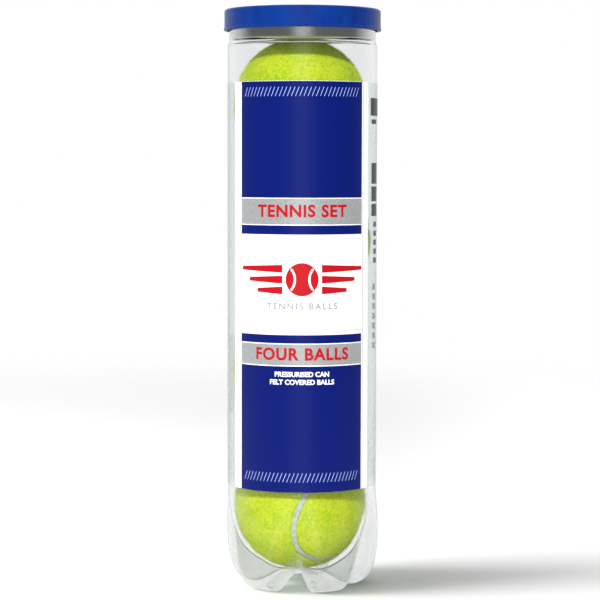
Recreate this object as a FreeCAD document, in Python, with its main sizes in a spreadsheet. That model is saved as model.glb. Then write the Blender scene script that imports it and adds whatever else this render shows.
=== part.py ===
import FreeCAD, Part
import Sketcher
import math
import os

# Pressurised tennis ball can: a clear blow-moulded bottle on five feet, a seamed ring-pull
# end, a push-on lid, a wrap label, and four balls stacked inside.
# Origin: centre of the foot plane. +Z runs up the can. The label's printed face looks to -Y.

DRIVING_SIZES = {
    # balls
    "ball_count": 4,
    "ball_diameter": 65.7,
    "ball_gap": 0.2,
    "ball_rest_gap": 0.3,
    "ball_lean": 1.0,
    "felt_depth": 3.0,
    "rubber_wall": 3.4,
    "seam_width": 2.6,
    "seam_wide": 0.75,
    "seam_narrow": 0.25,
    "glue_gap": 0.05,
    "parting_overrun": 5.0,
    # bottle
    "wall": 0.5,
    "ball_room": 3.55,
    "base_height": 50.0,
    "lobe_step": 1.4,
    "lobe_low": 15.0,
    "lobe_top": 34.0,
    "lobe_round": 9.0,
    "foot_ring_radius": 25.0,
    "foot_land": 4.0,
    "foot_round": 3.0,
    "foot_count": 5,
    "gate_height": 7.2,
    "gate_radius": 6.0,
    "dome_room": 7.0,
    "groove_half_width": 7.0,
    "groove_height": 14.5,
    "groove_round": 1.5,
    "groove_drop": 2.0,
    "groove_overrun": 5.0,
    "groove_turn": -98.0,
    "neck_step": 0.8,
    "neck_height": 16.4,
    "neck_taper": 1.2,
    "bore_overrun": 1.0,
    # seamed end
    "metal": 0.22,
    "end_fit": 0.15,
    "seam_fit": 0.08,
    "hook_wall": 0.4,
    "hook_length": 1.5,
    "seam_height": 3.0,
    "compound_depth": 0.25,
    "head_room": 1.75,
    "panel_rise": 2.9,
    "countersink_depth": 13.9,
    "countersink_width": 1.2,
    "score_gap": 0.25,
    "bead_depth": 0.5,
    "bead_inset": 4.0,
    "bead_width": 3.2,
    # rivet and ring pull
    "rivet_radius": 2.0,
    "rivet_head_radius": 2.8,
    "rivet_head_depth": 0.5,
    "rivet_fit": 0.25,
    "rivet_to_nose": 6.2,
    "nose_inset": 4.2,
    "tab_gap": 0.35,
    "tab_width": 16.0,
    "tab_length": 27.0,
    "tab_depth": 1.1,
    "tab_round": 6.5,
    "nose_round": 3.0,
    "finger_radius": 5.6,
    "finger_margin": 2.4,
    "island_length": 9.0,
    "island_width": 7.4,
    "island_depth": 0.4,
    "island_fit": 0.4,
    # lid
    "lid_wall": 0.9,
    "lid_depth": 10.4,
    "lid_seat": 0.2,
    "lid_room": 0.45,
    "lid_lip": 0.3,
    "lid_lip_height": 1.2,
    "lid_rib": 0.25,
    "lid_rib_height": 1.4,
    "lid_round": 0.8,
    "lid_rim_width": 4.0,
    "lid_recess": 1.4,
    # label
    "label_film": 0.12,
    "label_gap": 0.1,
    "label_low": 51.1,
    "label_top_margin": 18.5,
}

# Sizes that follow from the driving ones: each fit is the same value on both of its pieces.
FITTED_SIZES = [
    ("ball_radius", "Sizes.ball_diameter / 2"),
    ("ball_pitch", "Sizes.ball_diameter + Sizes.ball_gap"),
    ("core_radius", "ball_radius - Sizes.felt_depth"),
    ("rubber_radius", "core_radius - Sizes.glue_gap"),
    ("hollow_radius", "core_radius - Sizes.rubber_wall"),
    ("first_ball", "Sizes.gate_height + Sizes.wall + Sizes.ball_rest_gap + ball_radius"),
    ("can_radius", "ball_radius + Sizes.ball_room + Sizes.wall"),
    ("bore_radius", "can_radius - Sizes.wall"),
    ("lobe_radius", "can_radius + Sizes.lobe_step"),
    ("lobe_bore", "lobe_radius - Sizes.wall"),
    ("axis_line", "0"),
    ("foot_plane", "0"),
    ("foot_inner", "Sizes.foot_ring_radius - Sizes.foot_land / 2"),
    ("foot_outer", "Sizes.foot_ring_radius + Sizes.foot_land / 2"),
    ("foot_outer_bore", "foot_outer - Sizes.wall / 2"),
    ("gate_bore", "Sizes.gate_height + Sizes.wall"),
    ("lobe_low_bore", "Sizes.lobe_low + Sizes.wall / 2"),
    ("lobe_round_bore", "Sizes.lobe_round - Sizes.wall"),
    ("dome_radius", "ball_radius + Sizes.dome_room"),
    ("dome_bore", "dome_radius - Sizes.wall"),
    ("dome_centre", "Sizes.gate_height + dome_radius"),
    ("groove_slope", "atan(Sizes.groove_half_width / Sizes.groove_height)"),
    ("groove_width", "2 * Sizes.groove_half_width"),
    ("groove_rise", "Sizes.groove_height + Sizes.groove_drop"),
    ("groove_base", "groove_width * groove_rise / Sizes.groove_height"),
    ("groove_base_half", "groove_base / 2"),
    ("groove_rise_bore", "groove_rise + Sizes.wall / sin(groove_slope)"),
    ("groove_base_bore", "groove_base * groove_rise_bore / groove_rise"),
    ("groove_half_bore", "groove_base_bore / 2"),
    ("groove_round_bore", "Sizes.groove_round + Sizes.wall"),
    ("groove_reach", "lobe_radius + Sizes.groove_overrun"),
    ("neck_radius", "can_radius - Sizes.neck_step"),
    ("neck_bore", "neck_radius - Sizes.wall"),
    ("last_ball", "first_ball + (Sizes.ball_count - 1) * ball_pitch"),
    ("panel_low", "last_ball + ball_radius + Sizes.head_room"),
    ("panel_top", "panel_low + Sizes.metal"),
    ("bead_low", "panel_low - Sizes.bead_depth"),
    ("bead_top", "panel_top - Sizes.bead_depth"),
    ("countersink_low", "panel_low - Sizes.panel_rise"),
    ("seam_top", "countersink_low + Sizes.countersink_depth"),
    ("metal_half", "Sizes.metal / 2"),
    ("countersink_line", "countersink_low + metal_half"),
    ("seam_top_line", "seam_top - metal_half"),
    ("seam_low_line", "seam_top - Sizes.seam_height + metal_half"),
    ("neck_low", "seam_top - Sizes.neck_height"),
    ("neck_full", "neck_low + Sizes.neck_taper"),
    ("compound_top", "seam_top - Sizes.metal - Sizes.seam_fit"),
    ("flange_top", "compound_top - Sizes.compound_depth"),
    ("flange_low", "flange_top - Sizes.wall"),
    ("hook_low", "flange_top - Sizes.hook_length"),
    ("bore_top", "flange_top + Sizes.bore_overrun"),
    ("chuck_radius", "neck_bore - Sizes.end_fit"),
    ("chuck_line", "chuck_radius - metal_half"),
    ("aperture_radius", "chuck_radius - Sizes.countersink_width"),
    ("aperture_line", "aperture_radius + metal_half"),
    ("cover_hook_radius", "neck_radius + Sizes.seam_fit + Sizes.metal"),
    ("cover_hook_line", "cover_hook_radius - metal_half"),
    ("cover_hook_top", "flange_low - Sizes.seam_fit - metal_half"),
    ("body_hook_bore", "cover_hook_radius + Sizes.seam_fit"),
    ("body_hook_radius", "body_hook_bore + Sizes.hook_wall"),
    ("seam_radius", "body_hook_radius + Sizes.seam_fit + Sizes.metal"),
    ("seam_side_line", "seam_radius - metal_half"),
    ("panel_radius", "aperture_radius - Sizes.score_gap"),
    ("bead_outer", "panel_radius - Sizes.bead_inset"),
    ("bead_outer_low", "bead_outer - Sizes.bead_depth"),
    ("bead_inner", "bead_outer - Sizes.bead_width"),
    ("bead_inner_low", "bead_inner + Sizes.bead_depth"),
    ("nose_line", "-(panel_radius - Sizes.nose_inset)"),
    ("rivet_line", "nose_line + Sizes.rivet_to_nose"),
    ("tab_low", "panel_top + Sizes.tab_gap"),
    ("tab_middle", "Sizes.tab_width / 2"),
    ("tab_left", "-tab_middle"),
    ("finger_line", "Sizes.tab_length - Sizes.finger_margin - Sizes.finger_radius"),
    ("window_half", "Sizes.island_width / 2 + Sizes.island_fit"),
    ("window_left", "tab_middle - window_half"),
    ("window_right", "tab_middle + window_half"),
    ("island_half", "Sizes.island_width / 2"),
    ("island_front", "Sizes.rivet_to_nose - Sizes.island_length / 2"),
    ("island_back", "island_front + Sizes.island_length"),
    ("window_front", "island_front - Sizes.island_fit"),
    ("window_back", "island_back + Sizes.island_fit"),
    ("island_hole", "Sizes.rivet_radius + Sizes.rivet_fit"),
    ("rivet_shank", "tab_low + Sizes.island_depth + Sizes.rivet_fit - panel_low"),
    ("rivet_head_low", "panel_low + rivet_shank"),
    ("lid_bore", "seam_radius + Sizes.lid_room"),
    ("lid_radius", "lid_bore + Sizes.lid_wall"),
    ("lid_lip_radius", "lid_radius + Sizes.lid_lip"),
    ("lid_rib_radius", "lid_bore - Sizes.lid_rib"),
    ("lid_ceiling", "seam_top + Sizes.lid_seat"),
    ("lid_top", "lid_ceiling + Sizes.lid_wall"),
    ("lid_low", "lid_top - Sizes.lid_depth"),
    ("lid_lip_top", "lid_low + Sizes.lid_lip_height"),
    ("lid_rib_top", "lid_low + Sizes.lid_rib_height"),
    ("lid_rib_end", "lid_rib_top + Sizes.lid_rib"),
    ("lid_rim_inner", "lid_radius - Sizes.lid_rim_width"),
    ("lid_rim_foot", "lid_rim_inner - Sizes.lid_recess"),
    ("lid_rim_inner_under", "lid_rim_inner - Sizes.lid_wall / 2"),
    ("lid_rim_foot_under", "lid_rim_foot - Sizes.lid_wall / 2"),
    ("lid_recess_top", "lid_top - Sizes.lid_recess"),
    ("lid_recess_under", "lid_ceiling - Sizes.lid_recess"),
    ("label_bore", "can_radius + Sizes.label_gap"),
    ("label_radius", "label_bore + Sizes.label_film"),
    ("label_top", "neck_low - Sizes.label_top_margin"),
]

# Turn of each ball about its centre, as yaw, pitch and roll in degrees.
BALL_TURNS = [(175.6, -30.9, -144.2), (20.0, 64.0, 15.0), (115.0, -20.0, 48.0), (-101.0, 1.0, 112.0)]
# Side of the bottle that each ball leans against: +1 is right, -1 is left.
BALL_SIDES = [-1, -1, 1, -1]
SEAM_POINTS = 48
FULL_TURN = 360
QUARTER_TURN = 90
MATCH = 0.01

doc = FreeCAD.newDocument("tennis_ball_can")
sizes = doc.addObject("Spreadsheet::Sheet", "Sizes")
fits = doc.addObject("Spreadsheet::Sheet", "Fits")
SUB_PARTS = []


def fill_sheet(sheet, rows):
    for line, (alias, content) in enumerate(rows, start=1):
        sheet.set(f"A{line}", alias)
        sheet.set(f"B{line}", content)
        sheet.setAlias(f"B{line}", alias)


def cell(alias):
    """Reference to a named value, for an expression."""
    return f"Sizes.{alias}" if alias in DRIVING_SIZES else f"Fits.{alias}"


def value(alias):
    """Number that a named value has now."""
    sheet = sizes if alias in DRIVING_SIZES else fits
    found = sheet.get(alias)
    return getattr(found, "Value", found)


def name_piece(feature, label):
    feature.Label = label
    SUB_PARTS.append(feature)
    return feature


# ---------------------------------------------------------------- sketches and bodies

def origin_feature(body, role):
    for feature in body.Origin.OriginFeatures:
        if feature.Role == role:
            return feature


def lay_lines(sketch, points, closed):
    """Straight lines through points whose two coordinates are named values."""
    spots = [FreeCAD.Vector(value(across), value(up), 0) for across, up in points]
    count = len(spots) if closed else len(spots) - 1
    for index in range(count):
        sketch.addGeometry(Part.LineSegment(spots[index], spots[(index + 1) % len(spots)]))
    for index in range(count if closed else count - 1):
        sketch.addConstraint(Sketcher.Constraint("Coincident", index, 2, (index + 1) % count, 1))
    for index, (across, up) in enumerate(points):
        line, end = (index, 1) if index < count else (index - 1, 2)
        fix_point(sketch, line, end, across, up)


def fix_point(sketch, geometry, end, across, up):
    for kind, alias in (("DistanceX", across), ("DistanceY", up)):
        number = sketch.addConstraint(Sketcher.Constraint(kind, -1, 1, geometry, end, value(alias)))
        constraint = f"{kind}_{geometry}_{end}"
        sketch.renameConstraint(number, constraint)
        sketch.setExpression(f"Constraints.{constraint}", cell(alias))


def body_sketch(body, name, role):
    sketch = body.newObject("Sketcher::SketchObject", name)
    sketch.AttachmentSupport = [(origin_feature(body, role), "")]
    sketch.MapMode = "FlatFace"
    return sketch


def turned_body(name, points):
    """Body turned about the can's axis from a closed outline."""
    body = doc.addObject("PartDesign::Body", name)
    sketch = body_sketch(body, name + "_outline", "XZ_Plane")
    lay_lines(sketch, points, closed=True)
    turning = body.newObject("PartDesign::Revolution", name + "_turning")
    turning.Profile = sketch
    turning.ReferenceAxis = (sketch, ["V_Axis"])
    turning.Angle = FULL_TURN
    doc.recompute()
    return body


def circles_at(shape, places):
    """Names of the circular edges at the given radius and height pairs."""
    names = []
    for number, edge in enumerate(shape.Edges, start=1):
        if not isinstance(edge.Curve, Part.Circle):
            continue
        for radius, height in places:
            near = abs(edge.Curve.Radius - value(radius)) < MATCH
            if near and abs(edge.Curve.Center.z - value(height)) < MATCH:
                names.append(f"Edge{number}")
    return names


def round_edges(body, name, names, alias):
    base = body.Tip
    rounding = body.newObject("PartDesign::Fillet", name)
    rounding.Base = (base, names)
    rounding.Radius = value(alias)
    rounding.setExpression("Radius", cell(alias))
    body.Tip = rounding
    doc.recompute()


def formed_sheet(name, points):
    """Sheet metal turned about the can's axis, half its thickness each side of the path."""
    path = doc.addObject("Sketcher::SketchObject", name + "_path")
    path.Placement = FreeCAD.Placement(FreeCAD.Vector(), FreeCAD.Rotation(FreeCAD.Vector(1, 0, 0), QUARTER_TURN))
    lay_lines(path, points, closed=False)
    section = doc.addObject("Part::Offset2D", name + "_section")
    section.Source = path
    section.Fill = True
    section.setExpression("Value", cell("metal_half"))
    turning = doc.addObject("Part::Revolution", name)
    turning.Source = section
    turning.Axis = (0, 0, 1)
    turning.Angle = FULL_TURN
    turning.Solid = True
    doc.recompute()
    return turning


def cut(name, base, tool):
    feature = doc.addObject("Part::Cut", name)
    feature.Base = base
    feature.Tool = tool
    return feature


def cylinder(name, radius, height, low, line=None):
    feature = doc.addObject("Part::Cylinder", name)
    feature.setExpression("Radius", cell(radius))
    feature.setExpression("Height", cell(height))
    feature.setExpression("Placement.Base.z", cell(low))
    if line:
        feature.setExpression("Placement.Base.y", cell(line))
    return feature


def sphere(name, radius, low_angle=-90, high_angle=90, height=None):
    feature = doc.addObject("Part::Sphere", name)
    feature.setExpression("Radius", cell(radius))
    feature.Angle1 = low_angle
    feature.Angle2 = high_angle
    if height:
        feature.setExpression("Placement.Base.z", cell(height))
    return feature


# ---------------------------------------------------------------- bottle

def groove_cutter(name, width, half, rise, rounding, dome):
    """Five straight grooves between the feet, each one stopping at the domed floor."""
    body = doc.addObject("PartDesign::Body", name)
    sketch = body_sketch(body, name + "_outline", "YZ_Plane")
    lay_lines(sketch, [("axis_line", "foot_plane"), (width, "foot_plane"), (half, rise)], closed=True)
    sketch.setExpression("AttachmentOffset.Base.x", "-" + cell(half))
    sketch.setExpression("AttachmentOffset.Base.y", "-" + cell("groove_drop"))
    doc.recompute()
    pad = body.newObject("PartDesign::Pad", name + "_pad")
    pad.Profile = sketch
    pad.setExpression("Length", cell("groove_reach"))
    doc.recompute()
    top = pad.Shape.BoundBox.ZMax
    ridge = [
        f"Edge{number}" for number, edge in enumerate(pad.Shape.Edges, start=1)
        if abs(edge.BoundBox.ZMin - top) < MATCH
    ]
    round_edges(body, name + "_ridge", ridge, rounding)
    pattern = body.newObject("PartDesign::PolarPattern", name + "_pattern")
    pattern.Originals = [pad]
    pattern.TransformMode = "Whole shape"
    pattern.Axis = (origin_feature(body, "Z_Axis"), [""])
    pattern.Angle = FULL_TURN
    pattern.setExpression("Occurrences", cell("foot_count"))
    body.Tip = pattern
    body.Placement = FreeCAD.Placement(
        FreeCAD.Vector(), FreeCAD.Rotation(FreeCAD.Vector(0, 0, 1), value("groove_turn")))
    body.setExpression("Placement.Rotation.Angle", cell("groove_turn"))
    doc.recompute()
    return cut(name + "_below_dome", body, dome)


def make_can_body():
    outside = turned_body("can_outside", [
        ("axis_line", "gate_height"),
        ("gate_radius", "gate_height"),
        ("foot_inner", "foot_plane"),
        ("foot_outer", "foot_plane"),
        ("lobe_radius", "lobe_low"),
        ("lobe_radius", "lobe_top"),
        ("can_radius", "base_height"),
        ("can_radius", "neck_low"),
        ("neck_radius", "neck_full"),
        ("neck_radius", "flange_low"),
        ("body_hook_bore", "flange_low"),
        ("body_hook_bore", "hook_low"),
        ("body_hook_radius", "hook_low"),
        ("body_hook_radius", "flange_top"),
        ("axis_line", "flange_top"),
    ])
    heel = circles_at(outside.Shape, [("lobe_radius", "lobe_low")])
    round_edges(outside, "heel_round", heel, "lobe_round")
    land = circles_at(outside.Shape, [("foot_outer", "foot_plane"), ("foot_inner", "foot_plane")])
    round_edges(outside, "foot_edge_round", land, "foot_round")
    inside = turned_body("can_inside", [
        ("axis_line", "gate_bore"),
        ("gate_radius", "gate_bore"),
        ("foot_inner", "wall"),
        ("foot_outer_bore", "wall"),
        ("lobe_bore", "lobe_low_bore"),
        ("lobe_bore", "lobe_top"),
        ("bore_radius", "base_height"),
        ("bore_radius", "neck_low"),
        ("neck_bore", "neck_full"),
        ("neck_bore", "bore_top"),
        ("axis_line", "bore_top"),
    ])
    heel = circles_at(inside.Shape, [("lobe_bore", "lobe_low_bore")])
    round_edges(inside, "heel_round_inside", heel, "lobe_round_bore")
    dome = sphere("dome", "dome_radius", height="dome_centre")
    dome_inside = sphere("dome_inside", "dome_bore", height="dome_centre")
    grooves = groove_cutter(
        "grooves", "groove_base", "groove_base_half", "groove_rise", "groove_round", dome)
    grooves_inside = groove_cutter(
        "grooves_inside", "groove_base_bore", "groove_half_bore", "groove_rise_bore",
        "groove_round_bore", dome_inside)
    skin = cut("can_skin", outside, grooves)
    void = cut("can_void", inside, grooves_inside)
    name_piece(cut("can_body_shell", skin, void), "can_body")


# ---------------------------------------------------------------- seamed end

def make_end():
    ring = formed_sheet("end_ring_sheet", [
        ("aperture_line", "panel_low"),
        ("aperture_line", "countersink_line"),
        ("chuck_line", "countersink_line"),
        ("chuck_line", "seam_top_line"),
        ("seam_side_line", "seam_top_line"),
        ("seam_side_line", "seam_low_line"),
        ("cover_hook_line", "seam_low_line"),
        ("cover_hook_line", "cover_hook_top"),
    ])
    name_piece(ring, "end_ring")
    compound = turned_body("compound", [
        ("neck_bore", "flange_top"),
        ("body_hook_radius", "flange_top"),
        ("body_hook_radius", "compound_top"),
        ("neck_bore", "compound_top"),
    ])
    name_piece(compound, "sealing_compound")


def make_tear_panel():
    sheet = turned_body("panel_sheet", [
        ("axis_line", "panel_low"),
        ("bead_inner", "panel_low"),
        ("bead_inner_low", "bead_low"),
        ("bead_outer_low", "bead_low"),
        ("bead_outer", "panel_low"),
        ("panel_radius", "panel_low"),
        ("panel_radius", "panel_top"),
        ("bead_outer", "panel_top"),
        ("bead_outer_low", "bead_top"),
        ("bead_inner_low", "bead_top"),
        ("bead_inner", "panel_top"),
        ("axis_line", "panel_top"),
    ])
    shank = cylinder("rivet_shank_rod", "rivet_radius", "rivet_shank", "panel_low", "rivet_line")
    head = cylinder(
        "rivet_head", "rivet_head_radius", "rivet_head_depth", "rivet_head_low", "rivet_line")
    panel = doc.addObject("Part::MultiFuse", "panel_with_rivet")
    panel.Shapes = [sheet, shank, head]
    name_piece(panel, "tear_panel")


# ---------------------------------------------------------------- ring pull

def flat_plate(name, outline, depth):
    """Plate drawn from its nose, with X across the tab and Y towards the finger ring."""
    body = doc.addObject("PartDesign::Body", name)
    sketch = body_sketch(body, name + "_outline", "XY_Plane")
    lay_lines(sketch, outline, closed=True)
    pad = body.newObject("PartDesign::Pad", name + "_pad")
    pad.Profile = sketch
    pad.setExpression("Length", cell(depth))
    body.setExpression("Placement.Base.x", cell("tab_left"))
    body.setExpression("Placement.Base.y", cell("nose_line"))
    body.setExpression("Placement.Base.z", cell("tab_low"))
    doc.recompute()
    return body


def pocket_circle(body, name, line, radius):
    sketch = body_sketch(body, name + "_outline", "XY_Plane")
    centre = FreeCAD.Vector(value("tab_middle"), value(line), 0)
    sketch.addGeometry(Part.Circle(centre, FreeCAD.Vector(0, 0, 1), value(radius)))
    fix_point(sketch, 0, 3, "tab_middle", line)
    number = sketch.addConstraint(Sketcher.Constraint("Radius", 0, value(radius)))
    sketch.renameConstraint(number, "hole_radius")
    sketch.setExpression("Constraints.hole_radius", cell(radius))
    pocket_through(body, name, sketch)


def pocket_outline(body, name, outline):
    sketch = body_sketch(body, name + "_outline", "XY_Plane")
    lay_lines(sketch, outline, closed=True)
    pocket_through(body, name, sketch)


def pocket_through(body, name, sketch):
    pocket = body.newObject("PartDesign::Pocket", name)
    pocket.Profile = sketch
    pocket.Type = "ThroughAll"
    pocket.Reversed = True
    before = body.Shape.Volume
    doc.recompute()
    if pocket.Shape.Volume >= before:
        raise RuntimeError(name + " cuts nothing")


def rectangle(left, right, front, back):
    return [(left, front), (right, front), (right, back), (left, back)]


def upright_edges(shape, line):
    names = []
    for number, edge in enumerate(shape.Edges, start=1):
        box = edge.BoundBox
        upright = box.XLength < MATCH and box.YLength < MATCH
        corner = min(abs(box.XMin), abs(box.XMin - value("tab_width"))) < MATCH
        if upright and corner and abs(box.YMin - value(line)) < MATCH:
            names.append(f"Edge{number}")
    return names


def make_ring_pull():
    tab = flat_plate("tab", rectangle("axis_line", "tab_width", "foot_plane", "tab_length"), "tab_depth")
    round_edges(tab, "tab_tail_round", upright_edges(tab.Tip.Shape, "tab_length"), "tab_round")
    round_edges(tab, "tab_nose_round", upright_edges(tab.Tip.Shape, "foot_plane"), "nose_round")
    pocket_circle(tab, "finger_hole", "finger_line", "finger_radius")
    window = rectangle("window_left", "window_right", "window_front", "window_back")
    pocket_outline(tab, "island_window", window)
    name_piece(tab, "pull_tab")
    plate = rectangle("axis_line", "island_width", "island_front", "island_back")
    island = flat_plate("island", plate, "island_depth")
    island.setExpression("Placement.Base.x", "-" + cell("island_half"))
    doc.recompute()
    hole = cylinder("island_hole_rod", "island_hole", "tab_depth", "panel_top", "rivet_line")
    name_piece(cut("island_with_hole", island, hole), "tab_island")


# ---------------------------------------------------------------- lid and label

def make_lid():
    lid = turned_body("lid", [
        ("axis_line", "lid_recess_top"),
        ("lid_rim_foot", "lid_recess_top"),
        ("lid_rim_inner", "lid_top"),
        ("lid_radius", "lid_top"),
        ("lid_radius", "lid_lip_top"),
        ("lid_lip_radius", "lid_lip_top"),
        ("lid_lip_radius", "lid_low"),
        ("lid_rib_radius", "lid_low"),
        ("lid_rib_radius", "lid_rib_top"),
        ("lid_bore", "lid_rib_end"),
        ("lid_bore", "lid_ceiling"),
        ("lid_rim_inner_under", "lid_ceiling"),
        ("lid_rim_foot_under", "lid_recess_under"),
        ("axis_line", "lid_recess_under"),
    ])
    round_edges(lid, "lid_edge_round", circles_at(lid.Shape, [("lid_radius", "lid_top")]), "lid_round")
    name_piece(lid, "overcap")


def make_label():
    label = turned_body("label_wrap", rectangle("label_bore", "label_radius", "label_low", "label_top"))
    name_piece(label, "label")


# ---------------------------------------------------------------- balls

def seam_curve(radius, shift):
    """Closed line on a sphere, parallel to the ball's seam at a distance along the surface."""
    wide = value("seam_wide")
    narrow = value("seam_narrow")
    tall = 2 * math.sqrt(wide * narrow)
    spots = []
    for step in range(SEAM_POINTS):
        turn = 2 * math.pi * step / SEAM_POINTS
        spot = FreeCAD.Vector(
            wide * math.cos(turn) + narrow * math.cos(3 * turn),
            wide * math.sin(turn) - narrow * math.sin(3 * turn),
            tall * math.sin(2 * turn))
        along = FreeCAD.Vector(
            -wide * math.sin(turn) - 3 * narrow * math.sin(3 * turn),
            wide * math.cos(turn) - 3 * narrow * math.cos(3 * turn),
            2 * tall * math.cos(2 * turn))
        sideways = spot.cross(along).normalize()
        angle = shift / value("ball_radius")
        spots.append((spot * math.cos(angle) + sideways * math.sin(angle)) * radius)
    curve = Part.BSplineCurve()
    curve.interpolate(spots, PeriodicFlag=True)
    return curve.toShape()


def parting_face(shift):
    inner = seam_curve(value("core_radius") - value("parting_overrun"), shift)
    outer = seam_curve(value("ball_radius") + value("parting_overrun"), shift)
    return Part.makeRuledSurface(inner, outer)


def felt_pieces():
    """The felt layer, parted along both edges of the seam: two panels and the seam between."""
    whole = Part.makeSphere(value("ball_radius")).cut(Part.makeSphere(value("core_radius")))
    whole.rotate(FreeCAD.Vector(), FreeCAD.Vector(1, 1, 0), QUARTER_TURN)
    half = value("seam_width") / 2
    parted, _ = whole.generalFuse([parting_face(half), parting_face(-half)], MATCH / 10)
    solids = sorted(parted.Solids, key=lambda solid: solid.Volume)
    return {"seam": solids[0], "felt_a": solids[1], "felt_b": solids[2]}


def make_ball(number, side, turn, pieces):
    height = f"Fits.first_ball + {number - 1} * Fits.ball_pitch"
    place = FreeCAD.Placement(
        FreeCAD.Vector(side * value("ball_lean"), 0, value("first_ball") + (number - 1) * value("ball_pitch")),
        FreeCAD.Rotation(*turn))
    for half, low_angle, high_angle in (("core_lower", -90, 0), ("core_upper", 0, 90)):
        name = f"ball_{number}_{half}"
        solid = sphere(name + "_solid", "rubber_radius", low_angle, high_angle)
        core = cut(name + "_shell", solid, sphere(name + "_hollow", "hollow_radius"))
        core.Placement = place
        core.setExpression("Placement.Base.z", height)
        core.setExpression("Placement.Base.x", f"{side} * Sizes.ball_lean")
        name_piece(core, name)
    for piece, shape in pieces.items():
        name = f"ball_{number}_{piece}"
        feature = doc.addObject("Part::Feature", name + "_piece")
        feature.Shape = shape
        feature.Placement = place
        name_piece(feature, name)


# ---------------------------------------------------------------- build, check and write

def check_model():
    for item in doc.Objects:
        if "Invalid" in item.State or "Error" in item.State:
            raise RuntimeError(item.Name + " failed")
    for piece in SUB_PARTS:
        if piece.Shape.isNull() or not piece.Shape.isValid() or not piece.Shape.Solids:
            raise RuntimeError(piece.Label + " has no sound shape")


def write_pieces():
    os.makedirs("parts", exist_ok=True)
    for piece in SUB_PARTS:
        piece.Shape.exportStep(f"parts/{piece.Label}.step")
        print(piece.Label, round(piece.Shape.Volume, 1), "mm3", len(piece.Shape.Solids), "solid")


fill_sheet(sizes, [(alias, str(number)) for alias, number in DRIVING_SIZES.items()])
fill_sheet(fits, [(alias, "=" + formula) for alias, formula in FITTED_SIZES])
doc.recompute()
make_can_body()
make_end()
make_tear_panel()
make_ring_pull()
make_lid()
make_label()
FELT = felt_pieces()
for ball_number in range(1, int(value("ball_count")) + 1):
    place = (ball_number - 1) % len(BALL_TURNS)
    make_ball(ball_number, BALL_SIDES[place], BALL_TURNS[place], FELT)
doc.recompute()
check_model()
write_pieces()
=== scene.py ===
import math

import bmesh
import bpy
import numpy as np
from mathutils import Euler, Matrix, Vector, noise


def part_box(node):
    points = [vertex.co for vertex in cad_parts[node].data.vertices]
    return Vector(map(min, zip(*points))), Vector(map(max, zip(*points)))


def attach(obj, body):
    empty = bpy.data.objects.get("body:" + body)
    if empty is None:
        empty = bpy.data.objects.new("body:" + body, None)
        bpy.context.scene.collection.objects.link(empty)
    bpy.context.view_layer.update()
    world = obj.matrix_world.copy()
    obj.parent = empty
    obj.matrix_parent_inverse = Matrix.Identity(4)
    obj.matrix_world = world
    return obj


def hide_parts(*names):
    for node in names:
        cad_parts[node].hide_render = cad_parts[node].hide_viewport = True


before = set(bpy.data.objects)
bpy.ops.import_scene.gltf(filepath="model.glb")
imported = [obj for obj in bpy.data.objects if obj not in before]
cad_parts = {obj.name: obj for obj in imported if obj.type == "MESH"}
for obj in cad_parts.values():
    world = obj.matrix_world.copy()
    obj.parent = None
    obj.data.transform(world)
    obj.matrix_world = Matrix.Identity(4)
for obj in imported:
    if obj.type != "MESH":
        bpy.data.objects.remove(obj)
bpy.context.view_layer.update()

# A pressurised can of four tennis balls: clear bottle on five moulded feet, printed wrap,
# seamed metal end with a ring pull, push-on lid. Metres, +Z up, the label's front looks to -Y.

MM = 0.001

# ------------------------------------------------------------------ sizes from the frame

LABEL_LOW, LABEL_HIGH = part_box("label")
BOTTLE_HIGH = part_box("can_body")[1]
RING_LOW, RING_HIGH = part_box("end_ring")
PANEL_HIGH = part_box("tear_panel")[1]
LID_LOW, LID_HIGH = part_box("overcap")
TAB_LOW, TAB_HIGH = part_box("pull_tab")
ISLAND_LOW, ISLAND_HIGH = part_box("tab_island")
COMPOUND_LOW, COMPOUND_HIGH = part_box("sealing_compound")

FILM_RADIUS = LABEL_HIGH.x
CAN_RADIUS = FILM_RADIUS - 0.22 * MM
WALL = 0.5 * MM
NECK_RADIUS = CAN_RADIUS - 0.8 * MM
NECK_DROP = 16.4 * MM
NECK_TAPER = 1.2 * MM
LOBE_RADIUS = BOTTLE_HIGH.x
BASE_HEIGHT = 50 * MM
FOOT_COUNT = 5
GROOVE_TURN = math.radians(-98)
METAL = 0.22 * MM
SEAM_RADIUS = RING_HIGH.x
SEAM_TOP = RING_HIGH.z
SEAM_HEIGHT = 3 * MM
COUNTERSINK_LOW = RING_LOW.z
PANEL_RADIUS = PANEL_HIGH.x
APERTURE_RADIUS = PANEL_RADIUS + 0.25 * MM
CHUCK_RADIUS = APERTURE_RADIUS + 1.2 * MM
PANEL_LEVEL = COUNTERSINK_LOW + 2.9 * MM
LID_LIP_RADIUS = LID_HIGH.x
LID_RADIUS = LID_LIP_RADIUS - 0.3 * MM
# Each ball's yaw, pitch and roll in degrees, from the lowest ball up.
BALL_TURNS = [(175.6, -30.9, -144.2), (20.0, 64.0, 15.0), (115.0, -20.0, 48.0), (-101.0, 1.0, 112.0)]


# ------------------------------------------------------------------ small helpers

def colour(code):
    """Linear colour from an sRGB hex code."""
    channels = [int(code[start:start + 2], 16) / 255 for start in (1, 3, 5)]
    linear = [c / 12.92 if c <= 0.04045 else ((c + 0.055) / 1.055) ** 2.4 for c in channels]
    return (*linear, 1.0)


def add_node(tree, kind, inputs=None, **settings):
    """Adds one node with its settings, and sets or links its inputs."""
    node = tree.nodes.new(kind)
    for name, setting in settings.items():
        setattr(node, name, setting)
    for key, content in (inputs or {}).items():
        if isinstance(content, bpy.types.NodeSocket):
            tree.links.new(content, node.inputs[key])
        else:
            node.inputs[key].default_value = content
    return node


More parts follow.
